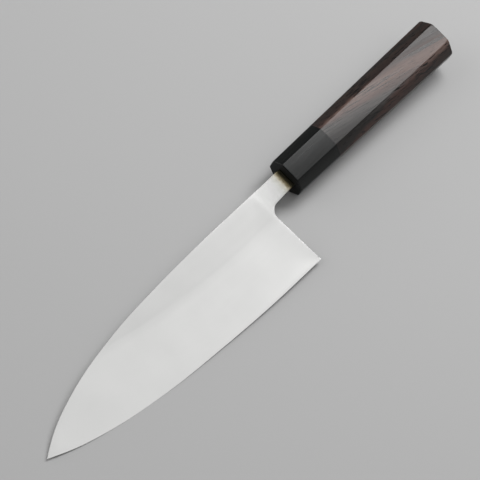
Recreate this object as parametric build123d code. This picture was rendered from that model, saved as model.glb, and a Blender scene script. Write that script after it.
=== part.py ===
from build123d import *
import math
import os

# A right-handed deba knife that lies on its bevelled side, hollow side up.
#
# It is built in the knife's own frame: X runs from the ferrule's front face to the butt,
# the blade lies on the minus side, Y points to the spine and Z out of the hollow side.
# At the end every piece is turned into the pose in which the knife lies on a table.

# Driving sizes of the blade, in millimetres and degrees
blade_length = 180.0
blade_height = 51.6
tip_drop = 27.3
spine_straight = 40.0
spine_thickness = 6.5
tip_thickness = 2.0
bevel_angle = 13.0
edge_land_width = 0.5
edge_land_depth = 0.2
rim_width = 1.1
hollow_depth = 0.45
hollow_slope_width = 11.0

# Driving sizes of the neck and the tang
neck_length = 20.0
neck_height = 11.8
neck_slope = 1.2
heel_lean = 1.3
notch_radius = 6.5
tang_length = 70.0
tang_end_height = 6.0
tang_end_thickness = 3.2

# Driving sizes of the hard steel layer
steel_thickness = 1.8

# Driving sizes of the handle
handle_length = 130.0
ferrule_length = 32.0
ferrule_height = 23.2
ferrule_facet = 5.6
handle_height_gain = 4.0
handle_thickness_gain = 3.2
handle_facet_gain = 1.2
ferrule_wall = 1.6
ferrule_front_wall = 6.0
ferrule_edge_break = 0.8
butt_crown = 0.3
butt_break_width = 0.6
butt_break_run = 0.7

# Driving sizes of the hidden dowel and the bedding round the tang
dowel_wall = 0.6
dowel_past_tang = 10.5
dowel_clearance = 0.1
dowel_end_gap = 0.5
slot_gap = 0.35
bedding_gap = 0.6
bedding_end = 1.5
bedding_recess = 0.5

# How far a cutting shape runs past what it cuts
overrun = 20.0

# Places along a curve where its shifted copies are worked out, and how often the search
# for the resting line halves its range
stations = 10
halvings = 40

# Spine in front of its straight part: share of the run to the tip, share of the tip's drop.
# The last point runs past the tip.
spine_shares = [(0.25, 0.044), (0.51, 0.154), (0.76, 0.418), (0.92, 0.742), (1.0, 1.0), (1.08, 1.30)]

# Edge in front of the heel: share of the blade's length, share of the rise from heel to tip.
# The last point runs past the tip.
edge_shares = [
    (0.21, 0.028), (0.42, 0.118), (0.625, 0.26), (0.82, 0.524), (0.915, 0.732), (1.0, 1.0), (1.10, 1.37)
]

# Upper border of the hard steel on the hollow side: share of the blade's length in front of
# the heel, share of the blade's height below the spine line. The ends run past the blade.
steel_shares = [
    (-0.11, 0.343), (0.0, 0.353), (0.22, 0.358), (0.405, 0.299), (0.55, 0.227), (0.68, 0.12), (0.80, 0.0)
]

# Heights in the knife's own frame
ura_z = spine_thickness / 2
spine_y = neck_height / 2
heel_x = -neck_length
tip_x = heel_x - blade_length
heel_y = spine_y - blade_height
tip_y = spine_y - tip_drop
edge_rise = tip_y - heel_y
bevel_slope = math.tan(math.radians(bevel_angle))

# Sizes of the dowel and of the handle's two ends, outwards from the tang
slot_corner = math.hypot(neck_height / 2 + bedding_gap, spine_thickness / 2 + bedding_gap)
dowel_radius = slot_corner + dowel_wall
bore_radius = dowel_radius + dowel_clearance
slot_end = tang_length + bedding_end
dowel_end = slot_end + dowel_past_tang
ferrule_thickness = 2 * (bore_radius + ferrule_wall)
butt_height = ferrule_height + handle_height_gain
butt_thickness = ferrule_thickness + handle_thickness_gain
butt_facet = ferrule_facet + handle_facet_gain


def region(*curves):
    """A flat face inside a closed row of curves."""
    return make_face(Curve() + list(curves))


def smooth(points):
    """A curve through points that starts straight towards the tip and ends straight."""
    last = points[-1]
    before = points[-2]
    return Spline(*points, tangents=[(-1, 0), (last[0] - before[0], last[1] - before[1])])


def spine_curve():
    """The spine from the end of its straight part to past the tip."""
    start_x = heel_x - spine_straight
    run = start_x - tip_x
    points = [(start_x, spine_y)]
    points += [(start_x - run * along, spine_y - tip_drop * down) for along, down in spine_shares]
    return smooth(points)


def edge_curve():
    """The cutting edge from behind the heel to past the tip."""
    points = [(heel_x + overrun, heel_y), (heel_x, heel_y)]
    points += [(heel_x - blade_length * along, heel_y + edge_rise * up) for along, up in edge_shares]
    return smooth(points)


def shifted(curve, inset):
    """A copy of a curve moved square to itself, to the right as it runs to the tip."""
    points = []
    tangents = []
    for station in range(stations + 1):
        place = curve @ (station / stations)
        along = curve % (station / stations)
        points.append((place.X + along.Y * inset, place.Y - along.X * inset))
        tangents.append((along.X, along.Y))
    return Spline(*points, tangents=[tangents[0], tangents[-1]])


def inside_edge(inset):
    """The flat region on the blade's side of the edge line, moved in by an inset."""
    foot = shifted(edge_curve(), inset)
    back = foot @ 0
    front = foot @ 1
    top_y = spine_y + overrun
    return region(foot, Polyline(front, (front.X, top_y), (back.X, top_y), back))


def inside_spine(inset):
    """The flat region on the blade's side of the spine line, moved in by an inset."""
    roof = shifted(spine_curve(), -inset)
    back = roof @ 0
    front = roof @ 1
    low_y = heel_y - overrun
    return region(roof, Polyline(front, (front.X, low_y), (0, low_y), (0, back.Y), back))


def before_heel(inset):
    """The flat region in front of the heel's back edge, moved in by an inset."""
    wide = -tip_x
    return Pos(heel_x - heel_lean - inset - wide / 2, 0) * Rectangle(wide, 2 * (blade_height + overrun))


def thickness_at(x):
    """Thickness of the blade's full section at a place along it."""
    return spine_thickness + (tip_thickness - spine_thickness) * x / tip_x


def blade_plan():
    """Blade and neck seen from the hollow side, still running past the edge."""
    spine = spine_curve()
    neck_y = spine_y - neck_height
    heel_end = Vector(heel_x + heel_lean * overrun / blade_height, heel_y - overrun)
    neck_root = (heel_x - heel_lean, neck_y - neck_slope)
    notch = FilletPolyline(heel_end, neck_root, (0, neck_y), radius=notch_radius)
    tang_end = Line((0, neck_y), (0, spine_y))
    straight = Line((0, spine_y), spine @ 0)
    past_tip = spine @ 1
    border = Polyline(past_tip, (past_tip.X, heel_end.Y), heel_end)
    return region(tang_end, straight, spine, border, notch)


def blade_side():
    """Blade and neck seen from the edge, tapered in thickness towards the tip."""
    past_x = tip_x - overrun
    near = [(0, ura_z), (0, ura_z - spine_thickness)]
    far = [(past_x, ura_z - thickness_at(past_x)), (past_x, ura_z)]
    side = Plane.XZ * make_face(Polyline(*near, *far, close=True))
    return extrude(side, blade_height + overrun, both=True)


def bevel_inset(depth):
    """How far in from the edge line the bevel stands at a depth below the hollow side."""
    return edge_land_width + (depth - edge_land_depth) / bevel_slope


def land_inset(depth):
    """The same for the steeper land along the very edge."""
    return edge_land_width * depth / edge_land_depth


def ground_side(inset_at):
    """The solid above a ground face that rises from the edge."""
    deep = spine_thickness + edge_land_depth
    top = Pos(0, 0, ura_z) * inside_edge(inset_at(0))
    bottom = Pos(0, 0, ura_z - deep) * inside_edge(inset_at(deep))
    return loft([top, bottom], ruled=True)


def hollow_outline(inset):
    """Outline of the blade without its neck, moved in by an inset."""
    return (inside_spine(inset) & inside_edge(inset) & before_heel(inset)).face()


def hollow():
    """The shallow hollow ground into the upper side, inside a flat rim."""
    mouth = Pos(0, 0, ura_z) * hollow_outline(rim_width)
    floor = Pos(0, 0, ura_z - hollow_depth) * hollow_outline(rim_width + hollow_slope_width)
    return loft([mouth, floor], ruled=True)


def ground_blade():
    """Blade and neck with every ground face, still of one piece."""
    blank = extrude(Pos(0, 0, ura_z - spine_thickness) * blade_plan(), spine_thickness)
    ground = blank & blade_side() & ground_side(bevel_inset) & ground_side(land_inset)
    return ground - hollow()


def tang_section(x, gap):
    """The tang's section at a place along it, larger by a gap all round."""
    share = x / tang_length
    height = neck_height + (tang_end_height - neck_height) * share + 2 * gap
    thickness = spine_thickness + (tang_end_thickness - spine_thickness) * share + 2 * gap
    return Plane.YZ.offset(x) * Rectangle(height, thickness)


def tang_shape(start, end, gap=0):
    """The tang, or the room for it, between two places along it."""
    return loft([tang_section(start, gap), tang_section(end, gap)], ruled=True)


def steel_zone():
    """The space that the hard steel layer fills on the hollow side."""
    points = []
    for along, down in steel_shares:
        points.append((heel_x - blade_length * along, spine_y - blade_height * down))
    upper = Spline(*points)
    low_y = heel_y - overrun
    front_x = tip_x - overrun
    first = points[0]
    last = points[-1]
    border = Polyline(last, (front_x, last[1]), (front_x, low_y), (first[0], low_y), first)
    return extrude(Pos(0, 0, ura_z - steel_thickness) * region(upper, border), steel_thickness + overrun)


def octagon(x, height, thickness, facet):
    """The handle's eight-sided section."""
    outline = Rectangle(height, thickness)
    return Plane.YZ.offset(x) * chamfer(outline.vertices(), facet)


def handle_blank():
    """Ferrule and body in one, tapered towards the ferrule, with the butt's edges broken."""
    front = octagon(0, ferrule_height, ferrule_thickness, ferrule_facet)
    full = octagon(handle_length - butt_break_run, butt_height, butt_thickness, butt_facet)
    narrower = 2 * butt_break_width
    end_facet = butt_facet - butt_break_width * (2 - math.sqrt(2))
    end = octagon(handle_length, butt_height - narrower, butt_thickness - narrower, end_facet)
    return loft([front, full, end], ruled=True)


def rod(radius, start, end):
    """A round bar along the handle's axis."""
    return Plane.YZ.offset(start) * extrude(Circle(radius), end - start)


def ferrule(blank):
    """The horn ferrule: slot for the tang in front, bore for the dowel behind."""
    piece = split(blank, Plane.YZ.offset(ferrule_length), keep=Keep.BOTTOM)
    piece = chamfer(piece.faces().sort_by(Axis.X)[0].edges(), ferrule_edge_break)
    piece -= tang_shape(0, ferrule_front_wall, slot_gap)
    return piece - rod(bore_radius, ferrule_front_wall, ferrule_length)


def handle_body(blank):
    """The wooden body with its crowned butt and blind bore."""
    piece = split(blank, Plane.YZ.offset(ferrule_length), keep=Keep.TOP)
    crown_radius = ((butt_height / 2) ** 2 + butt_crown ** 2) / (2 * butt_crown)
    piece &= Pos(handle_length - crown_radius, 0, 0) * Sphere(crown_radius)
    return piece - rod(bore_radius, ferrule_length, dowel_end + dowel_end_gap)


def dowel():
    """The wooden dowel that joins ferrule and body, slotted for the tang."""
    piece = rod(dowel_radius, ferrule_front_wall, dowel_end)
    return piece - tang_shape(ferrule_front_wall, slot_end, bedding_gap)


def bedding():
    """The resin that holds the tang in the slots."""
    front = tang_shape(bedding_recess, ferrule_front_wall, slot_gap)
    rear = tang_shape(ferrule_front_wall, slot_end, bedding_gap)
    return front + rear - tang_shape(0, tang_length)


def table():
    """The plane that the knife lies on. It touches the bevel along one line, and the corner
    between the ferrule's lower side and the slanted facet next to it on the edge side."""
    corner = Vector(ferrule_edge_break, ferrule_facet - ferrule_height / 2, -ferrule_thickness / 2)
    needed = bevel_inset(ura_z - corner.Z)
    curve = edge_curve()
    near_heel = 0.0
    near_tip = 1.0
    for halving in range(halvings):
        middle = (near_heel + near_tip) / 2
        place = curve @ middle
        along = curve % middle
        inwards = Vector(along.Y, -along.X)
        reach = inwards.dot(Vector(corner.X, corner.Y) - place)
        if reach < needed:
            near_heel = middle
        else:
            near_tip = middle
    upwards = Vector(inwards.X * bevel_slope, inwards.Y * bevel_slope, 1)
    return Plane(origin=corner, x_dir=(1, 0, 0), z_dir=upwards)


blade = ground_blade()
zone = steel_zone()
blank = handle_blank()

pieces = {
    "hard_steel_layer": blade & zone,
    "blade_and_tang": blade - zone + tang_shape(0, tang_length),
    "horn_ferrule": ferrule(blank),
    "handle_body": handle_body(blank),
    "handle_dowel": dowel(),
    "tang_bedding": bedding(),
}

# Lay the knife down, then put the frame's origin under the middle of its box
lying = table().location.inverse()
laid = {name: lying * piece for name, piece in pieces.items()}
boxes = [piece.bounding_box() for piece in laid.values()]
middle_x = (min(box.min.X for box in boxes) + max(box.max.X for box in boxes)) / 2
middle_y = (min(box.min.Y for box in boxes) + max(box.max.Y for box in boxes)) / 2
to_origin = Pos(-middle_x, -middle_y, -min(box.min.Z for box in boxes))

os.makedirs("parts", exist_ok=True)
for name, piece in laid.items():
    export_step(to_origin * piece, f"parts/{name}.step")
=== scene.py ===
import math

import bmesh
import bpy
import numpy as np
from mathutils import Matrix, Vector
from mathutils.geometry import interpolate_bezier


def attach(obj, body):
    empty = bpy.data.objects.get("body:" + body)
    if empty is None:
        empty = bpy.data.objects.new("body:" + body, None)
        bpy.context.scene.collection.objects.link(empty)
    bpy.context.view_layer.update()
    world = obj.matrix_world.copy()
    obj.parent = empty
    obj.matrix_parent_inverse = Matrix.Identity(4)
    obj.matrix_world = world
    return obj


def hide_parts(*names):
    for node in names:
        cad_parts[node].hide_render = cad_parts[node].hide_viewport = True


# A deba knife that lies on its bevelled side, hollow side up.
#
# Shapes are drawn in millimetres in the knife's own axes, and laid down at the end: X runs
# from the ferrule's front face to the butt, Y to the spine and Z out of the hollow side.

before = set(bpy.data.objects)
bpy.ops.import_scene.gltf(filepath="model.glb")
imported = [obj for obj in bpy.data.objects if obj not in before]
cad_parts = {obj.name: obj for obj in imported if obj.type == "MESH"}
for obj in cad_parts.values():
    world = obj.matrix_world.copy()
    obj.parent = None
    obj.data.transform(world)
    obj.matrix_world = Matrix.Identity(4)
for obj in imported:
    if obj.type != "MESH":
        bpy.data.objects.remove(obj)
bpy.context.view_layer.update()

# Where the knife's own axes point while it rests on its bevel, and where the middle of the
# ferrule's front face is
TO_BUTT = Vector((0.99923847, 0.0, 0.03901897))
TO_SPINE = Vector((-0.0086509, 0.97511264, 0.22154119))
OUT_OF_HOLLOW = Vector((-0.03804789, -0.22171002, 0.97437006))
FERRULE_FRONT = Vector((0.0348295, 0.0154945, 0.0109108))
MM = 0.001

# Blade, in millimetres and degrees
HEEL_X = -20.0
TIP = Vector((-200.0, -21.4))
SPINE_Y = 5.9
HEEL_Y = -45.7
HEEL_LEAN = 1.3
NECK_THICK = 6.5
TIP_THICK = 2.0
URA_Z = NECK_THICK / 2
BEVEL_SLOPE = math.tan(math.radians(13.0))
LAND_WIDTH = 0.5
LAND_DEPTH = 0.2
STEEL_THICK = 1.8
RIM = 1.1
TIP_RIM = 4.2
TIP_RIM_REACH = 11.0
HOLLOW_DEPTH = 0.45
HOLLOW_RUN = 20.0
EASING = 0.06
NOTCH_RADIUS = 6.5
NECK_LOW_Y = -7.1
TANG_LENGTH = 70.0
TANG_END_HEIGHT = 6.0
TANG_END_THICK = 3.2

# Lines of the blade as seen from the hollow side. Spine and edge run past the tip, and the
# steel border past both ends of the blade.
SPINE_LINE = [
    (-60.0, SPINE_Y), (-95.0, 4.7), (-131.4, 1.7), (-166.4, -5.5), (-188.8, -14.36),
    tuple(TIP), (-211.2, -29.6),
]
EDGE_LINE = [
    (HEEL_X, HEEL_Y), (-57.8, -45.02), (-95.6, -42.83), (-132.5, -39.38), (-167.6, -32.97),
    (-184.7, -27.91), tuple(TIP), (-218.0, -12.4),
]
STEEL_BORDER = [
    (-0.2, -11.8), (HEEL_X, -12.3), (-59.6, -12.57), (-92.9, -9.53), (-119.0, -5.81),
    (-142.4, -0.29), (-164.0, SPINE_Y),
]

# Handle, in millimetres and degrees
FERRULE_LENGTH = 32.0
HANDLE_LENGTH = 130.0
FERRULE_HEIGHT = 23.2
FERRULE_THICK = 19.72
FERRULE_FACET = 5.6
BUTT_HEIGHT = 27.2
BUTT_THICK = 22.92
BUTT_FACET = 6.8
LONG_EASE = 0.4
BUTT_EASE = 1.2
SIDE_CROWN = 0.013
FRONT_BREAK = 0.6
BUTT_BREAK_RUN = 0.7
BUTT_BREAK = 0.6
BUTT_CROWN = 0.3
FRONT_WALL = 6.0
BORE_RADIUS = 8.26
BORE_END = 82.5
SLOT_GAP = 0.35
FRONT_ROUND_ANGLES = (90, 70, 50, 30, 15, 0)
BUTT_ROUND_ANGLES = (0, 20, 40, 60, 78)
# How far before the rounded butt edge the eased corners widen, and by what share
BUTT_EASE_SHARES = ((4.0, 0.0), (2.0, 0.2), (0.8, 0.6))
OVERRUN = 1.0
ROUND_SIDES = 64
BALL_SIDES = 96
BALL_RINGS = 240

# How near together two places count as one, in millimetres
SAME_PLACE = 0.001
SAME_ROW = 0.002
ON_PLANE = 1e-6


# Curves and shapes


def smooth_line(points, steps=24):
    """A smooth line through points, as an array of close places along it."""
    knots = [Vector(p) for p in points]
    gaps = [(b - a).length for a, b in zip(knots, knots[1:])]
    slopes = [(b - a) / gap for a, b, gap in zip(knots, knots[1:], gaps)]
    tangents = [slopes[0]]
    for before, after, gap_before, gap_after in zip(slopes, slopes[1:], gaps, gaps[1:]):
        tangents.append((before * gap_after + after * gap_before) / (gap_before + gap_after))
    tangents.append(slopes[-1])
    line = [knots[0]]
    for index, gap in enumerate(gaps):
        start = knots[index]
        end = knots[index + 1]
        handle = gap / 3
        curve = interpolate_bezier(
            start, start + tangents[index] * handle, end - tangents[index + 1] * handle, end, steps
        )
        line.extend(curve[1:])
    return np.array([tuple(p) for p in line])


def height_on(line, x):
    """How high a line that runs towards the tip lies at places along the blade."""
    return np.interp(x, line[::-1, 0], line[::-1, 1])


def distance_to(line, x, y):
    """How far places lie from a line."""
    nearest = np.full(x.shape, np.inf)
    for (ax, ay), (bx, by) in zip(line, line[1:]):
        run_x, run_y = bx - ax, by - ay
        share = ((x - ax) * run_x + (y - ay) * run_y) / (run_x ** 2 + run_y ** 2)
        share = np.clip(share, 0, 1)
        nearest = np.minimum(nearest, np.hypot(x - ax - run_x * share, y - ay - run_y * share))
    return nearest


def laid_down(shape):
    """Turns a shape from the knife's own axes and millimetres into the frame."""
    turn = Matrix((TO_BUTT, TO_SPINE, OUT_OF_HOLLOW)).transposed()
    place = Matrix.LocRotScale(FERRULE_FRONT, turn.to_quaternion(), Vector((MM, MM, MM)))
    bmesh.ops.transform(shape, matrix=place, verts=shape.verts)
    return shape


def as_piece(name, shape, materials, sharp=35.0, faceted=False):
    """Makes the finished object of a shape, smooth but for its sharp edges. On a faceted
    piece the large faces stay flat, and only the eased edges between them turn."""
    mesh = bpy.data.meshes.new(name)
    shape.to_mesh(mesh)
    shape.free()
    for material in materials:
        mesh.materials.append(material)
    mesh.shade_smooth()
    mesh.set_sharp_from_angle(angle=math.radians(sharp))
    piece = bpy.data.objects.new(name, mesh)
    bpy.context.scene.collection.objects.link(piece)
    if faceted:
        flat = piece.modifiers.new("flat_faces", "WEIGHTED_NORMAL")
        flat.weight = 100
        flat.keep_sharp = True
    return piece


def carved(shape, tool, how):
    """What is left of a shape when a tool is cut out of it, or what the two share."""
    body = as_piece("body", shape, [])
    cutter = as_piece("cutter", tool, [])
    change = body.modifiers.new("carve", "BOOLEAN")
    change.operation = how
    change.solver = "EXACT"
    change.object = cutter
    graph = bpy.context.evaluated_depsgraph_get()
    mesh = bpy.data.meshes.new_from_object(body.evaluated_get(graph))
    result = bmesh.new()
    result.from_mesh(mesh)
    bmesh.ops.remove_doubles(result, verts=result.verts, dist=SAME_PLACE)
    # A face with an open edge is a sliver that hangs on the closed shape
    while hanging := [f for f in result.faces if any(e.is_boundary for e in f.edges)]:
        bmesh.ops.delete(result, geom=hanging, context="FACES")
    bpy.data.objects.remove(body)
    bpy.data.objects.remove(cutter)
    bpy.data.meshes.remove(mesh)
    return result


# The blade's surface

spine_line = smooth_line(SPINE_LINE)
edge_line = smooth_line(EDGE_LINE)
border_line = smooth_line(STEEL_BORDER)

# The notch: the heel's back edge, the arc in the corner and the neck's lower edge
heel_top_x = HEEL_X - HEEL_LEAN
neck_angle = math.atan2(-SPINE_Y - NECK_LOW_Y, -heel_top_x)
heel_angle = math.atan2(HEEL_LEAN, NECK_LOW_Y - HEEL_Y)
arc_start = math.pi + heel_angle
arc_end = math.pi / 2 + neck_angle
corner_turn = math.tan((math.pi / 2 - neck_angle + heel_angle) / 2) * NOTCH_RADIUS
arc_x = heel_top_x + math.sin(heel_angle) * corner_turn + math.cos(heel_angle) * NOTCH_RADIUS
arc_y = NECK_LOW_Y - math.cos(heel_angle) * corner_turn + math.sin(heel_angle) * NOTCH_RADIUS


def on_arc(angle):
    """A place on the notch's arc."""
    return arc_x + math.cos(angle) * NOTCH_RADIUS, arc_y + math.sin(angle) * NOTCH_RADIUS


# The heel's columns of places end half way round the arc, where the neck's begin
ARC_PLACES = 9
arc_middle = math.radians(135)
turn_x, turn_y = on_arc(arc_middle)
lower_arc = [on_arc(a) for a in np.linspace(arc_start, arc_middle, ARC_PLACES)]
upper_arc = [on_arc(a) for a in np.linspace(arc_middle, arc_end, ARC_PLACES)]
heel_back = np.array([(HEEL_X, HEEL_Y)] + lower_arc + [(turn_x, SPINE_Y)])
neck_low = np.array(upper_arc + [(0.0, -SPINE_Y)])
notch_line = np.array([(HEEL_X, HEEL_Y)] + lower_arc + upper_arc[1:] + [(0.0, -SPINE_Y)])
tip_at = int(np.argmin(np.hypot(spine_line[:, 0] - TIP.x, spine_line[:, 1] - TIP.y)))
top_line = np.vstack([[(0.0, SPINE_Y)], spine_line[: tip_at + 1]])


def hollow_at(x, y):
    """Depth of the hollow ground side at places on it, none on the rim and the neck."""
    heel_line = HEEL_X - HEEL_LEAN * (y - HEEL_Y) / (NECK_LOW_Y - HEEL_Y)
    insets = distance_to(top_line, x, y), distance_to(edge_line, x, y), heel_line - x
    # A rounded least of the three distances, so that the hollow has no creases
    inside = sum(np.maximum(inset, SAME_PLACE) ** -3.0 for inset in insets) ** (-1 / 3)
    from_tip = np.hypot(x - TIP.x, y - TIP.y)
    rim = RIM + TIP_RIM * np.exp(-((from_tip / TIP_RIM_REACH) ** 2))
    share = np.clip((inside - rim) / HOLLOW_RUN, 0, 1)
    return HOLLOW_DEPTH * (1 - (1 - share) ** 2)


def ground_at(x, y):
    """Height of the bevelled side at places on it: the flat, the bevel or the land."""
    flat = URA_Z - (NECK_THICK + (TIP_THICK - NECK_THICK) * x / TIP.x)
    inset = distance_to(edge_line, x, y)
    bevel = URA_Z - LAND_DEPTH - (inset - LAND_WIDTH) * BEVEL_SLOPE
    land = URA_Z - inset * LAND_DEPTH / LAND_WIDTH
    return np.maximum(flat, np.where(inset < LAND_WIDTH, land, bevel))


def easing_at(x, y, thick):
    """How far the surface drops at the eased edges of spine, heel and neck."""
    inset = np.minimum(distance_to(top_line, x, y), distance_to(notch_line, x, y))
    steepest_share, thin_share = 0.85, 4
    into = np.clip(EASING - inset, 0, steepest_share * EASING)
    drop = EASING - np.sqrt(EASING ** 2 - into ** 2)
    return drop * np.clip(thick / (thin_share * EASING), 0, 1)


def ridge_height(x):
    """How far above the edge, straight up, the bevel meets the flat."""
    wide = LAND_WIDTH + (NECK_THICK + (TIP_THICK - NECK_THICK) * x / TIP.x - LAND_DEPTH) / BEVEL_SLOPE
    rise = wide.copy()
    low = height_on(edge_line, x)
    rounds = 5
    for _ in range(rounds):
        rise *= wide / distance_to(edge_line, x, low + rise)
    return rise


# Rows of places lie close together along spine, edge and heel, where the surface turns, and
# columns lie close together at the heel and the tip. Distances are in millimetres. Where the
# blade is lower than FULL_HEIGHT its close rows move together, those on the eased edge only
# below EASED_HEIGHT, and those above the ridge where it is less than FULL_RIDGE deep.
CLOSE = np.array([0, 0.02, 0.04, 0.06, 0.09, 0.6, 1.1, 1.6, 2.4, 3.7, 5.2])
EASED_ROWS = 5
TIGHT_ROWS = 4
NECK_ROW = 19
RIDGE_ROW = 26
ROWS = 52
FULL_HEIGHT = 25
EASED_HEIGHT = 4
FULL_RIDGE = 3
LEAST_RIDGE_SHARE = 0.02
HEEL_ROWS_REACH = 9
HEEL_BEND_REACH = 14
FAINT_SHARE = 0.001
NEAR_TIP = np.array(
    [0, 0.25, 0.5, 0.8, 1.2, 1.6, 2.1, 2.7, 3.4, 4.2, 5.1, 6.1, 7.2, 8.4, 9.7, 11.1, 12.6]
)
MIDDLE_STEP = 1.5
NECK_COLUMNS = 20

first_rows = list(range(len(CLOSE)))
last_rows = list(range(ROWS + 1 - len(CLOSE), ROWS + 1))
tight_rows = list(range(TIGHT_ROWS))
rows_at_neck = list(range(NECK_ROW + 1 - TIGHT_ROWS, NECK_ROW + 1))

blade_long = HEEL_X - TIP.x
middle = np.arange(CLOSE[-1], blade_long - NEAR_TIP[-1], MIDDLE_STEP)[1:]
ahead_of_heel = np.concatenate([CLOSE, middle, blade_long - NEAR_TIP[::-1]])[::-1]
HEEL_COLUMN = len(ahead_of_heel) - 1
COLUMNS = HEEL_COLUMN + NECK_COLUMNS
turn_depth = SPINE_Y - turn_y


def blade_rows(hollow_side, height, ridge, from_heel):
    """How far under the spine the rows of one column of the blade lie. Near the heel some lie
    close together at the neck too, and the bevelled side has one along its ridge."""
    close = CLOSE * min(1.0, height / FULL_HEIGHT)
    close[:EASED_ROWS] = CLOSE[:EASED_ROWS] * min(1.0, height / EASED_HEIGHT)
    at_neck = turn_depth - CLOSE[:TIGHT_ROWS][::-1]
    if hollow_side:
        marks = first_rows + last_rows
        depths = [*close, *(height - close[::-1])]
        heel_marks = first_rows + rows_at_neck + last_rows
        heel_depths = [*CLOSE, *at_neck, *(height - CLOSE[::-1])]
    else:
        tight = CLOSE[:TIGHT_ROWS] * min(1.0, ridge / FULL_RIDGE)
        marks = tight_rows + [RIDGE_ROW] + last_rows
        depths = [*tight, ridge, *(height - close[::-1])]
        heel_marks = tight_rows + rows_at_neck + [RIDGE_ROW] + last_rows
        heel_depths = [*CLOSE[:TIGHT_ROWS], *at_neck, ridge, *(height - CLOSE[::-1])]
    rows = np.arange(ROWS + 1)
    spread = np.interp(rows, marks, depths)
    near = math.exp(-((from_heel / HEEL_ROWS_REACH) ** 2))
    if near > FAINT_SHARE:
        spread = near * np.interp(rows, heel_marks, heel_depths) + (1 - near) * spread
    return spread


def neck_rows(heel_depths, height):
    """How far under the spine the rows of one column of the neck lie: as at the heel along
    both eased edges, and drawn together between them."""
    share = (height - 2 * EASING) / (turn_depth - 2 * EASING)
    between = EASING + (heel_depths - EASING) * share
    at_low_edge = height - (turn_depth - heel_depths)
    depths = np.where(heel_depths > turn_depth - EASING, at_low_edge, between)
    return np.where(heel_depths < EASING, heel_depths, depths)


def surface(hollow_side):
    """Places of all rows and columns on one side of the blade and its neck."""
    x_base = HEEL_X - ahead_of_heel
    top = height_on(top_line[1:], x_base)
    tall = np.maximum(top - height_on(edge_line, x_base), 0)
    ridge = np.clip(tall - ridge_height(x_base), LEAST_RIDGE_SHARE * tall, tall)
    x = np.zeros((COLUMNS + 1, ROWS + 1))
    y = np.zeros_like(x)
    for column, from_heel in enumerate(ahead_of_heel):
        y[column] = top[column] - blade_rows(hollow_side, tall[column], ridge[column], from_heel)
        bend = np.interp(y[column], heel_back[:, 1], heel_back[:, 0]) - HEEL_X
        fade = math.exp(-((from_heel / HEEL_BEND_REACH) ** 2))
        x[column] = x_base[column] + bend * fade
    # The neck's columns run from the spine to the arc and the neck's lower edge
    heel_depths = SPINE_Y - y[HEEL_COLUMN]
    along = np.linspace(0, 1, NECK_COLUMNS + 2 - ARC_PLACES)[1:]
    low_x = np.concatenate([neck_low[1:ARC_PLACES, 0], neck_low[ARC_PLACES - 1, 0] * (1 - along)])
    low_y = np.interp(low_x, neck_low[:, 0], neck_low[:, 1])
    for step in range(NECK_COLUMNS):
        column = HEEL_COLUMN + 1 + step
        height = SPINE_Y - low_y[step]
        depths = neck_rows(heel_depths, height)
        top_x = turn_x * (1 - (step + 1) / NECK_COLUMNS)
        y[column] = SPINE_Y - depths
        x[column] = top_x + (low_x[step] - top_x) * depths / height
    upper = URA_Z - hollow_at(x, y)
    lower = np.minimum(ground_at(x, y), upper)
    ease = easing_at(x, y, upper - lower)
    return x, y, (upper - ease if hollow_side else lower + ease)


def blade_shape():
    """The whole blade with its neck and tang as one closed shape."""
    shape = bmesh.new()
    bmesh.ops.create_grid(shape, x_segments=COLUMNS, y_segments=ROWS, size=1)
    column_mark = shape.verts.layers.int.new("column")
    row_mark = shape.verts.layers.int.new("row")
    for vert in shape.verts:
        vert[column_mark] = round((vert.co.x + 1) / 2 * COLUMNS)
        vert[row_mark] = round((1 - vert.co.y) / 2 * ROWS)
    behind_heel = []
    for face in shape.faces:
        if min(v[column_mark] for v in face.verts) >= HEEL_COLUMN:
            if min(v[row_mark] for v in face.verts) >= NECK_ROW:
                behind_heel.append(face)
    bmesh.ops.delete(shape, geom=behind_heel, context="FACES")
    raised = bmesh.ops.extrude_face_region(shape, geom=shape.faces[:])
    raised_verts = {item for item in raised["geom"] if isinstance(item, bmesh.types.BMVert)}
    hollow_side = surface(True)
    bevel_side = surface(False)
    for vert in shape.verts:
        x, y, z = hollow_side if vert in raised_verts else bevel_side
        place = vert[column_mark], vert[row_mark]
        vert.co = x[place], y[place], z[place]
    # The neck goes on as the tang, which narrows inside the handle
    rear = [face for face in shape.faces if all(abs(v.co.x) < ON_PLANE for v in face.verts)]
    tang = bmesh.ops.extrude_face_region(shape, geom=rear)
    left_inside = [face for face in rear if face.is_valid]
    bmesh.ops.delete(shape, geom=left_inside, context="FACES_ONLY")
    tang_end = [item for item in tang["geom"] if isinstance(item, bmesh.types.BMVert)]
    narrow = Vector((1, TANG_END_HEIGHT / (2 * SPINE_Y), TANG_END_THICK / NECK_THICK))
    bmesh.ops.scale(shape, vec=narrow, verts=tang_end)
    bmesh.ops.translate(shape, vec=(TANG_LENGTH, 0, 0), verts=tang_end)
    bmesh.ops.remove_doubles(shape, verts=shape.verts, dist=SAME_ROW)
    bmesh.ops.dissolve_degenerate(shape, edges=shape.edges, dist=SAME_PLACE)
    bmesh.ops.recalc_face_normals(shape, faces=shape.faces)
    return shape


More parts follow.
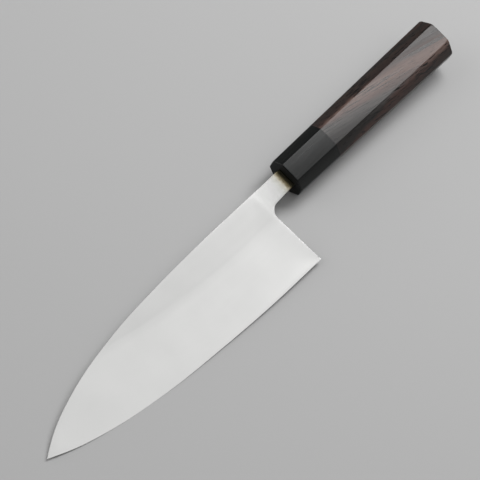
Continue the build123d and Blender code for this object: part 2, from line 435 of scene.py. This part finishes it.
def steel_zone():
    """The block of space that the hard steel layer fills."""
    zone = bmesh.new()
    count = len(border_line) - 1
    bmesh.ops.create_grid(zone, x_segments=count, y_segments=1, size=1)
    for vert in zone.verts:
        x, y = border_line[round((vert.co.x + 1) / 2 * count)]
        vert.co = x, (y if vert.co.y > 0 else 2 * HEEL_Y), URA_Z - STEEL_THICK
    ahead = [v for v in zone.verts if abs(v.co.x - border_line[-1][0]) < ON_PLANE]
    front = bmesh.ops.extrude_edge_only(
        zone, edges=[e for e in zone.edges if all(v in ahead for v in e.verts)]
    )
    moved = [item for item in front["geom"] if isinstance(item, bmesh.types.BMVert)]
    bmesh.ops.translate(zone, vec=(2 * TIP.x - border_line[-1][0], 0, 0), verts=moved)
    rise = bmesh.ops.extrude_face_region(zone, geom=zone.faces[:])
    lifted = [item for item in rise["geom"] if isinstance(item, bmesh.types.BMVert)]
    bmesh.ops.translate(zone, vec=(0, 0, 2 * NECK_THICK), verts=lifted)
    bmesh.ops.recalc_face_normals(zone, faces=zone.faces)
    return zone


def with_marks(shape):
    """Stores how far each place is above the steel border, and says which of a piece's three
    materials a face has: the hollow side's, the bevel's or that of all other faces."""
    hollow_slot, bevel_slot, other_slot = range(3)
    mostly_up, faintly_down = 0.5, 0.1
    border_mark = shape.verts.layers.float.new("from_border")
    for vert in shape.verts:
        vert[border_mark] = vert.co.y - height_on(border_line, vert.co.x)
    for face in shape.faces:
        facing = face.normal
        bevelled = facing.z < -mostly_up and facing.y < -faintly_down
        if facing.z > mostly_up:
            face.material_index = hollow_slot
        elif bevelled and face.calc_center_median().x < HEEL_X:
            face.material_index = bevel_slot
        else:
            face.material_index = other_slot
    return shape


# The handle's shapes


def eight_sides(shape, x, height, thick, facet, ease):
    """One loop of places across the handle: eight faintly crowned sides that meet in eased
    corners."""
    out_y, out_z = height / 2, thick / 2
    flat_y, flat_z = out_y - facet, out_z - facet
    half = [Vector(c) for c in ((out_y, -flat_z), (out_y, flat_z), (flat_y, out_z), (-flat_y, out_z))]
    corners = half + [-c for c in half]
    places_on_side, places_in_corner, corner_pull = 5, 5, 0.6
    sides = []
    for start, end in zip(corners, corners[1:] + corners[:1]):
        side = end - start
        outward = Vector((side.y, -side.x))
        trim = ease / side.length
        shares = np.linspace(trim, 1 - trim, places_on_side)
        sides.append([start + side * t - outward * SIDE_CROWN * (2 * t - 1) ** 2 for t in shares])
    places = []
    for side, corner, after in zip(sides, corners[1:] + corners[:1], sides[1:] + sides[:1]):
        top = corner * (1 - SIDE_CROWN)
        before, behind = side[-1], after[0]
        pulls = before.lerp(top, corner_pull), behind.lerp(top, corner_pull)
        eased = interpolate_bezier(before, *pulls, behind, places_in_corner)
        places += side + eased[1:-1]
    loop = bmesh.ops.create_circle(shape, segments=len(places), radius=1)["verts"]
    loop.sort(key=lambda vert: math.atan2(vert.co.y, vert.co.x))
    for vert, place in zip(loop, places):
        vert.co = x, place.x, place.y
    return loop


def edges_of(loop):
    """The edges that join the places of one loop."""
    inside = set(loop)
    return list({e for v in loop for e in v.link_edges if e.other_vert(v) in inside})


def handle_section(x, inward=0.0):
    """Height, thickness and facet of the handle at a place along it, or of the section that
    lies a little inside that one."""
    share = x / (HANDLE_LENGTH - BUTT_BREAK_RUN)
    return (
        FERRULE_HEIGHT + (BUTT_HEIGHT - FERRULE_HEIGHT) * share - 2 * inward,
        FERRULE_THICK + (BUTT_THICK - FERRULE_THICK) * share - 2 * inward,
        FERRULE_FACET + (BUTT_FACET - FERRULE_FACET) * share - inward * (2 - math.sqrt(2)),
    )


def eight_sided_bar(stations):
    """An eight-sided bar through sections."""
    bar = bmesh.new()
    loops = [eight_sides(bar, *station) for station in stations]
    for first, second in zip(loops, loops[1:]):
        bmesh.ops.bridge_loops(bar, edges=edges_of(first) + edges_of(second))
    bmesh.ops.contextual_create(bar, geom=edges_of(loops[0]))
    bmesh.ops.contextual_create(bar, geom=edges_of(loops[-1]))
    bmesh.ops.recalc_face_normals(bar, faces=bar.faces)
    return bar


def rod(radius, start, end):
    """A round bar along the handle."""
    bar = bmesh.new()
    place = Matrix.Translation(((start + end) / 2, 0, 0)) @ Matrix.Rotation(math.pi / 2, 4, "Y")
    bmesh.ops.create_cone(
        bar, cap_ends=True, segments=ROUND_SIDES, radius1=radius, radius2=radius,
        depth=end - start, matrix=place,
    )
    return bar


def ferrule_shape():
    """The horn ferrule with its rounded front edge, the tang's slot and the bore behind."""
    stations = []
    for angle in np.radians(FRONT_ROUND_ANGLES):
        x = FRONT_BREAK * (1 - math.sin(angle))
        stations.append((x, *handle_section(x, FRONT_BREAK * (1 - math.cos(angle))), LONG_EASE))
    stations.append((FERRULE_LENGTH, *handle_section(FERRULE_LENGTH), LONG_EASE))
    shape = eight_sided_bar(stations)
    slot = bmesh.new()
    bmesh.ops.create_cube(slot, size=1)
    slot_size = (2 * FRONT_WALL, 2 * (SPINE_Y + SLOT_GAP), NECK_THICK + 2 * SLOT_GAP)
    bmesh.ops.scale(slot, vec=slot_size, verts=slot.verts)
    shape = carved(shape, slot, "DIFFERENCE")
    return carved(shape, rod(BORE_RADIUS, FRONT_WALL, FERRULE_LENGTH + OVERRUN), "DIFFERENCE")


def body_shape():
    """The wooden body with its rounded butt edge, crowned butt and blind bore."""
    straight_end = HANDLE_LENGTH - BUTT_BREAK_RUN
    stations = [(FERRULE_LENGTH, *handle_section(FERRULE_LENGTH), LONG_EASE)]
    for back, share in BUTT_EASE_SHARES:
        x = straight_end - back
        stations.append((x, *handle_section(x), LONG_EASE + (BUTT_EASE - LONG_EASE) * share))
    for angle in np.radians(BUTT_ROUND_ANGLES):
        x = straight_end + BUTT_BREAK_RUN * math.sin(angle)
        inward = BUTT_BREAK * (1 - math.cos(angle))
        stations.append((x, *handle_section(straight_end, inward), BUTT_EASE))
    shape = eight_sided_bar(stations)
    ball = bmesh.new()
    ball_radius = ((BUTT_HEIGHT / 2) ** 2 + BUTT_CROWN ** 2) / (2 * BUTT_CROWN)
    centre = Matrix.Translation((HANDLE_LENGTH - ball_radius, 0, 0))
    bmesh.ops.create_uvsphere(
        ball, u_segments=BALL_SIDES, v_segments=BALL_RINGS, radius=ball_radius,
        matrix=centre @ Matrix.Rotation(math.pi / 2, 4, "Y"),
    )
    shape = carved(shape, ball, "INTERSECT")
    return carved(shape, rod(BORE_RADIUS, FERRULE_LENGTH - OVERRUN, BORE_END), "DIFFERENCE")


# Materials


def colour(text):
    """The linear colour of an sRGB hex value."""
    parts = [int(text[i:i + 2], 16) / 255 for i in (1, 3, 5)]
    return tuple(c / 12.92 if c <= 0.04045 else ((c + 0.055) / 1.055) ** 2.4 for c in parts) + (1.0,)


def add(material, kind, inputs=None, stops=None, **settings):
    """Adds a node with its settings, its colour stops and its linked or fixed inputs."""
    node = material.node_tree.nodes.new("ShaderNode" + kind)
    for name, value in settings.items():
        setattr(node, name, value)
    for socket, value in (inputs or {}).items():
        if isinstance(value, bpy.types.NodeSocket):
            material.node_tree.links.new(value, node.inputs[socket])
        else:
            node.inputs[socket].default_value = value
    if stops:
        ramp = node.color_ramp.elements
        while len(ramp) < len(stops):
            ramp.new(1)
        for element, (place, shade) in zip(ramp, stops):
            element.position = place
            element.color = colour(shade)
    return node


def new_material(name):
    """An empty material with its shader, and places on the piece in the knife's own axes
    and millimetres."""
    material = bpy.data.materials.new(name)
    material.use_nodes = True
    shader = material.node_tree.nodes["Principled BSDF"]
    turn = Matrix((TO_BUTT, TO_SPINE, OUT_OF_HOLLOW)).transposed()
    where = add(material, "TexCoord").outputs["Object"]
    place = add(
        material, "Mapping",
        {"Vector": where, "Location": FERRULE_FRONT, "Rotation": turn.to_euler(), "Scale": (MM, MM, MM)},
        vector_type="TEXTURE",
    ).outputs["Vector"]
    return material, shader, place


def link(material, source, target):
    """Joins two sockets."""
    material.node_tree.links.new(source, target)


def fibres(material, place, length, width, turned=0.0, detail=3.0):
    """Noise drawn out into fibres or scratches of a length and width in millimetres, turned
    away from the knife's length by an angle."""
    along = add(
        material, "Mapping",
        {"Vector": place, "Rotation": (0, 0, math.radians(turned)), "Scale": (length, width, width)},
        vector_type="TEXTURE",
    ).outputs["Vector"]
    return add(
        material, "TexNoise", {"Vector": along, "Scale": 1.0, "Detail": detail, "Roughness": 0.6}
    ).outputs["Fac"]


def ground_steel(name, shades, roughness, turned, wear):
    """Carbon steel ground on fine stones: a satin grey with hair-fine scratches along one
    direction. Real scratches are about 0.02 mm wide, drawn at 0.25 mm so that they show."""
    material, shader, place = new_material(name)
    shader.inputs["Metallic"].default_value = 1.0
    scratch_length, scratch_width, cloud_width = 60.0, 0.25, 22
    scratches = fibres(material, place, scratch_length, scratch_width, turned)
    clouds = add(
        material, "TexNoise",
        {"Vector": place, "Scale": 1 / cloud_width, "Detail": 3.0, "Roughness": 0.5},
    ).outputs["Fac"]
    mixed = add(
        material, "Math", {0: scratches, 1: 0.35, 2: clouds}, operation="MULTIPLY_ADD"
    ).outputs[0]
    share = add(material, "MapRange", {0: mixed, 1: 0.35, 2: 1.0}).outputs[0]
    tint = add(
        material, "ValToRGB", {"Fac": share}, stops=[(0.0, shades[0]), (1.0, shades[1])]
    ).outputs["Color"]
    dull = add(
        material, "MapRange", {0: scratches, 1: 0.3, 2: 0.7, 3: roughness - wear, 4: roughness + wear}
    ).outputs[0]
    link(material, dull, shader.inputs["Roughness"])
    bump = add(
        material, "Bump", {"Strength": 0.03, "Distance": 0.02 * MM, "Height": scratches}
    ).outputs["Normal"]
    link(material, bump, shader.inputs["Normal"])
    return material, shader, place, tint


def heat_tint_and_painted_shade(material, place, base):
    """Browns the neck in front of the ferrule, where it was heated to be set. Its greys darken
    the neck towards the brown as painted shade, and the paler strip at the ferrule itself is painted
    light."""
    x = add(material, "SeparateXYZ", {"Vector": place}).outputs["X"]
    tint_and_shade_start, tint_and_shade_end, ragged = -20.5, 1.5, 3.0
    uneven = add(material, "TexNoise", {"Vector": place, "Scale": 0.5, "Detail": 4.0}).outputs["Fac"]
    shifted = add(material, "Math", {0: uneven, 1: ragged, 2: x}, operation="MULTIPLY_ADD").outputs[0]
    share = add(material, "MapRange", {0: shifted, 1: tint_and_shade_start, 2: tint_and_shade_end}).outputs[0]
    # Painted shade in the grey stops up to the brown, heat tint in the brown stops, painted light in the
    # paler last stops at the ferrule
    shade = add(
        material, "ValToRGB", {"Fac": share},
        stops=[
            (0.0, "#ffffff"), (0.1, "#f5f5f5"), (0.36, "#e9e9e9"), (0.56, "#dedede"),
            (0.68, "#d2d2cd"), (0.753, "#cbc8be"), (0.796, "#b0a997"), (0.84, "#857b63"),
            (0.887, "#796f54"), (0.92, "#968d6d"), (0.949, "#c3bc9d"), (1.0, "#b5ae92"),
        ],
    ).outputs["Color"]
    return add(
        material, "Mix", {0: 1.0, 6: base, 7: shade}, data_type="RGBA", blend_type="MULTIPLY"
    ).outputs[2]


def hollow_ground_steel(name):
    """The hollow side: pale satin steel, a little darker on the spine's side of the border
    of the hard steel."""
    material, shader, place, tint = ground_steel(name, ("#d9d9d8", "#e0e0df"), 0.185, -2.0, 0.02)
    border = add(material, "Attribute", attribute_name="from_border").outputs["Fac"]
    below_border, above_border = -4.0, 16.0
    share = add(material, "MapRange", {0: border, 1: below_border, 2: above_border}).outputs[0]
    band = add(
        material, "ValToRGB", {"Fac": share},
        stops=[(0.0, "#ffffff"), (0.2, "#fafafa"), (0.28, "#f5f5f5"), (1.0, "#f8f8f8")],
    ).outputs["Color"]
    banded = add(
        material, "Mix", {0: 1.0, 6: tint, 7: band}, data_type="RGBA", blend_type="MULTIPLY"
    ).outputs[2]
    # The neck's heat tint, with painted shade on its greys and a painted light strip at the ferrule
    link(material, heat_tint_and_painted_shade(material, place, banded), shader.inputs["Base Color"])
    return material


def bevel_steel(name, shades, roughness):
    """The bevel as it comes off the stones, scratched along the edge."""
    material, shader, place, tint = ground_steel(name, shades, roughness, 0.0, 0.05)
    link(material, tint, shader.inputs["Base Color"])
    return material


def flat_steel(name):
    """Spine, heel, flat and tang of the softer steel, ground lengthwise."""
    material, shader, place, tint = ground_steel(name, ("#bdbdbb", "#cfcfcd"), 0.34, 0.0, 0.05)
    # The neck's heat tint, with painted shade on its greys and a painted light strip at the ferrule
    link(material, heat_tint_and_painted_shade(material, place, tint), shader.inputs["Base Color"])
    return material


def polished_horn(name):
    """Buffalo horn, polished: near black with a green cast, faint grey fibres along it and
    a soft gloss, but for its front face, which is left matt from the grinder."""
    material, shader, place = new_material(name)
    grown = fibres(material, place, 28.0, 1.1, detail=4.0)
    shade = add(
        material, "ValToRGB", {"Fac": grown},
        stops=[(0.3, "#060807"), (0.6, "#0b0d0c"), (0.8, "#121412")],
    ).outputs["Color"]
    link(material, shade, shader.inputs["Base Color"])
    shader.inputs["IOR"].default_value = 1.54
    shader.inputs["Specular IOR Level"].default_value = 0.3
    soft = add(material, "MapRange", {0: grown, 1: 0.3, 2: 0.7, 3: 0.20, 4: 0.28}).outputs[0]
    from_front = add(material, "SeparateXYZ", {"Vector": place}).outputs["X"]
    matt_end, polish_start = 0.02, 0.2
    matt = add(
        material, "MapRange", {0: from_front, 1: matt_end, 2: polish_start, 3: 0.7, 4: 0.0}
    ).outputs[0]
    dull = add(material, "Math", {0: soft, 1: matt}, operation="MAXIMUM").outputs[0]
    link(material, dull, shader.inputs["Roughness"])
    bump = add(material, "Bump", {"Strength": 0.05, "Distance": 0.05 * MM, "Height": grown}).outputs[0]
    link(material, bump, shader.inputs["Normal"])
    return material


def oiled_rosewood(name):
    """Rosewood, sanded fine and oiled: reddish brown bands between blackish ones, all drifting
    slightly across the handle, with hair-fine dark streaks, open pores and a satin sheen. On the
    top side alone a band is painted paler and greyer: partly a paler ring, partly painted sheen."""
    material, shader, place = new_material(name)
    drift = -11.0
    # In millimetres: how far the rings' colours reach, and how high on the handle the painted top sheen
    # begins
    first_ring, last_ring = -25.9, 54.1
    top_sheen_from, top_sheen_full = 8.6, 10.0
    bands = fibres(material, place, 50.0, 3.0, drift, 5.0)
    streaks = fibres(material, place, 45.0, 0.8, drift, 4.0)
    pores = fibres(material, place, 7.0, 0.35, drift, 2.0)
    # Growth rings lie nearly flat under the top side, and drift towards the edge's side
    depth = add(
        material, "VectorMath", {0: place, 1: (0.222, 0.98, -3.0)}, operation="DOT_PRODUCT"
    ).outputs["Value"]
    waved = add(material, "Math", {0: bands, 1: 7.0, 2: depth}, operation="MULTIPLY_ADD").outputs[0]
    frayed = add(material, "Math", {0: streaks, 1: 5.0, 2: waved}, operation="MULTIPLY_ADD").outputs[0]
    ring = add(material, "MapRange", {0: frayed, 1: first_ring, 2: last_ring}).outputs[0]
    heart = add(
        material, "ValToRGB", {"Fac": ring},
        stops=[
            (0.0, "#1c1714"), (0.155, "#1b1715"), (0.19, "#3e2822"), (0.28, "#36241f"),
            (0.36, "#281d1a"), (0.5, "#2c1f19"), (0.58, "#181412"), (0.68, "#34221c"),
            (0.8, "#221a16"), (0.9, "#2e201a"), (1.0, "#1c1613"),
        ],
    ).outputs["Color"]
    # Band of rings that takes the paler shade: a paler ring of the figure, with painted sheen on it
    pale_ring_and_sheen_band = add(
        material, "ValToRGB", {"Fac": ring},
        stops=[(0.085, "#000000"), (0.15, "#ffffff"), (0.26, "#ffffff"), (0.32, "#000000")],
    ).outputs["Color"]
    # Greyish paler shade: partly the paler ring's own colour, partly painted sheen
    pale_ring_and_sheen_shade = add(
        material, "ValToRGB", {"Fac": ring},
        stops=[(0.15, "#4b4745"), (0.19, "#5d4a45"), (0.22, "#6a564f")],
    ).outputs["Color"]
    # Painted sheen: the paler shade is put only on the top side, where the sheen falls
    rise = add(material, "SeparateXYZ", {"Vector": place}).outputs["Z"]
    top_sheen_mask = add(material, "MapRange", {0: rise, 1: top_sheen_from, 2: top_sheen_full}).outputs[0]
    pale_ring_and_top_sheen = add(material, "Math", {0: pale_ring_and_sheen_band, 1: top_sheen_mask}, operation="MULTIPLY").outputs[0]
    # The wood's figure, with the painted sheen on the top side
    figure_and_top_sheen = add(
        material, "Mix", {0: pale_ring_and_top_sheen, 6: heart, 7: pale_ring_and_sheen_shade}, data_type="RGBA"
    ).outputs[2]
    dark_streak = add(material, "MapRange", {0: streaks, 1: 0.54, 2: 0.6}).outputs[0]
    open_pore = add(material, "MapRange", {0: pores, 1: 0.6, 2: 0.7}).outputs[0]
    marks = add(material, "Math", {0: dark_streak, 1: open_pore}, operation="MAXIMUM").outputs[0]
    marked = add(
        material, "Mix", {0: marks, 6: figure_and_top_sheen, 7: colour("#080606")}, data_type="RGBA"
    ).outputs[2]
    link(material, marked, shader.inputs["Base Color"])
    shader.inputs["IOR"].default_value = 1.5
    shader.inputs["Specular IOR Level"].default_value = 0.42
    sheen = add(material, "MapRange", {0: streaks, 1: 0.38, 2: 0.62, 3: 0.40, 4: 0.27}).outputs[0]
    link(material, sheen, shader.inputs["Roughness"])
    height = add(
        material, "Math", {0: open_pore, 1: -0.6, 2: bands}, operation="MULTIPLY_ADD"
    ).outputs[0]
    bump = add(material, "Bump", {"Strength": 0.18, "Distance": 0.08 * MM, "Height": height}).outputs[0]
    link(material, bump, shader.inputs["Normal"])
    return material


def raw_dowel_wood(name):
    """Pale close-grained wood, turned and left raw: matt, with fine lengthwise grain."""
    material, shader, place = new_material(name)
    grain = fibres(material, place, 25.0, 0.8, detail=4.0)
    shade = add(
        material, "ValToRGB", {"Fac": grain}, stops=[(0.3, "#b99a6e"), (0.7, "#d6bd94")]
    ).outputs["Color"]
    link(material, shade, shader.inputs["Base Color"])
    shader.inputs["Roughness"].default_value = 0.75
    return material


def set_resin(name):
    """Hard brown resin, set in the slot: dark and slightly glossy, with small clouds."""
    material, shader, place = new_material(name)
    clouds = add(material, "TexNoise", {"Vector": place, "Scale": 0.6, "Detail": 2.0}).outputs["Fac"]
    shade = add(
        material, "ValToRGB", {"Fac": clouds}, stops=[(0.3, "#1d150b"), (0.7, "#352614")]
    ).outputs["Color"]
    link(material, shade, shader.inputs["Base Color"])
    shader.inputs["Roughness"].default_value = 0.4
    return material


# The pieces

hollow_face = hollow_ground_steel("satin_hollow_ground_steel")
edge_bevel = bevel_steel("stone_polished_edge_steel", ("#c9c9c8", "#dcdcdb"), 0.26)
hazed_bevel = bevel_steel("hazed_cladding_bevel", ("#a9a9a7", "#bcbcba"), 0.42)
flat_face = flat_steel("satin_ground_cladding")

blade = with_marks(carved(blade_shape(), steel_zone(), "INTERSECT"))
hard_steel = as_piece("hard_steel", laid_down(blade), [hollow_face, edge_bevel, flat_face])
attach(hard_steel, "root")
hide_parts("hard_steel_layer")

blade = with_marks(carved(blade_shape(), steel_zone(), "DIFFERENCE"))
cladding = as_piece("cladding_and_tang", laid_down(blade), [hollow_face, hazed_bevel, flat_face])
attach(cladding, "root")
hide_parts("blade_and_tang")

horn = polished_horn("polished_buffalo_horn")
ferrule = as_piece("ferrule", laid_down(ferrule_shape()), [horn], sharp=60.0, faceted=True)
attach(ferrule, "root")
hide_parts("horn_ferrule")

rosewood = oiled_rosewood("oiled_rosewood")
handle = as_piece("handle", laid_down(body_shape()), [rosewood], sharp=60.0, faceted=True)
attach(handle, "root")
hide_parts("handle_body")

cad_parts["handle_dowel"].data.materials.clear()
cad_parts["handle_dowel"].data.materials.append(raw_dowel_wood("raw_dowel_wood"))
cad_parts["tang_bedding"].data.materials.clear()
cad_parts["tang_bedding"].data.materials.append(set_resin("set_bedding_resin"))


# Floor, lights and camera

FLOOR_REACH = 3
DIM_WORLD = 0.18
CAMERA_PLACE = Vector((-0.26685, -0.17589, 0.62032))
CAMERA_RIGHT = Vector((0.68344, -0.72677, 0.06862))
CAMERA_UP = Vector((0.6275, 0.63291, 0.4535))

floor_shape = bmesh.new()
bmesh.ops.create_grid(floor_shape, x_segments=1, y_segments=1, size=FLOOR_REACH)
floor_material = bpy.data.materials.new("pale_floor")
floor_material.use_nodes = True
floor_shader = floor_material.node_tree.nodes["Principled BSDF"]
floor_shader.inputs["Base Color"].default_value = colour("#c1c1c1")
floor_shader.inputs["Roughness"].default_value = 0.9
floor_shader.inputs["Specular IOR Level"].default_value = 0.2
floor = as_piece("floor", floor_shape, [floor_material])

world = bpy.data.worlds.new("studio")
world.use_nodes = True
world.node_tree.nodes["Background"].inputs["Color"].default_value = (*[DIM_WORLD] * 3, 1.0)
bpy.context.scene.world = world


def soft_lamp(name, direction, distance, size, radiance, turned=0.0):
    """A soft lamp that shines at the knife from a direction, turned about its own beam by
    degrees. Distance and size are in metres."""
    lamp = bpy.data.lights.new(name, "AREA")
    lamp.shape = "RECTANGLE"
    lamp.size, lamp.size_y = size
    lamp.energy = radiance * math.pi * lamp.size * lamp.size_y
    holder = bpy.data.objects.new(name, lamp)
    aim = Vector(direction).normalized()
    holder.location = aim * distance
    facing = aim.to_track_quat("Z", "Y").to_matrix() @ Matrix.Rotation(math.radians(turned), 3, "Z")
    holder.rotation_euler = facing.to_euler()
    bpy.context.scene.collection.objects.link(holder)


soft_lamp("overhead", (0.32, -0.13, 0.935), 1.6, (2.2, 1.35), 0.72)
soft_lamp("butt_side", (0.609, 0.03, 0.79), 1.217, (0.8, 0.5), 6.8, 38.0)
soft_lamp("far_side", (-0.5, 0.6, 0.62), 1.8, (1.3, 1.3), 0.95)
soft_lamp("low_side", (-0.28, 0.9, 0.2), 1.8, (1.6, 0.6), 1.1)

camera = bpy.data.objects.new("camera", bpy.data.cameras.new("camera"))
camera.data.sensor_width = 36.0
camera.data.lens = 95.26
camera.data.clip_start = 0.01
camera.data.clip_end = 20.0
camera_turn = Matrix((CAMERA_RIGHT, CAMERA_UP, CAMERA_RIGHT.cross(CAMERA_UP))).transposed()
camera.matrix_world = Matrix.LocRotScale(CAMERA_PLACE, camera_turn.to_quaternion(), None)
bpy.context.scene.collection.objects.link(camera)
bpy.context.scene.camera = camera
bpy.context.scene.view_settings.view_transform = "Standard"
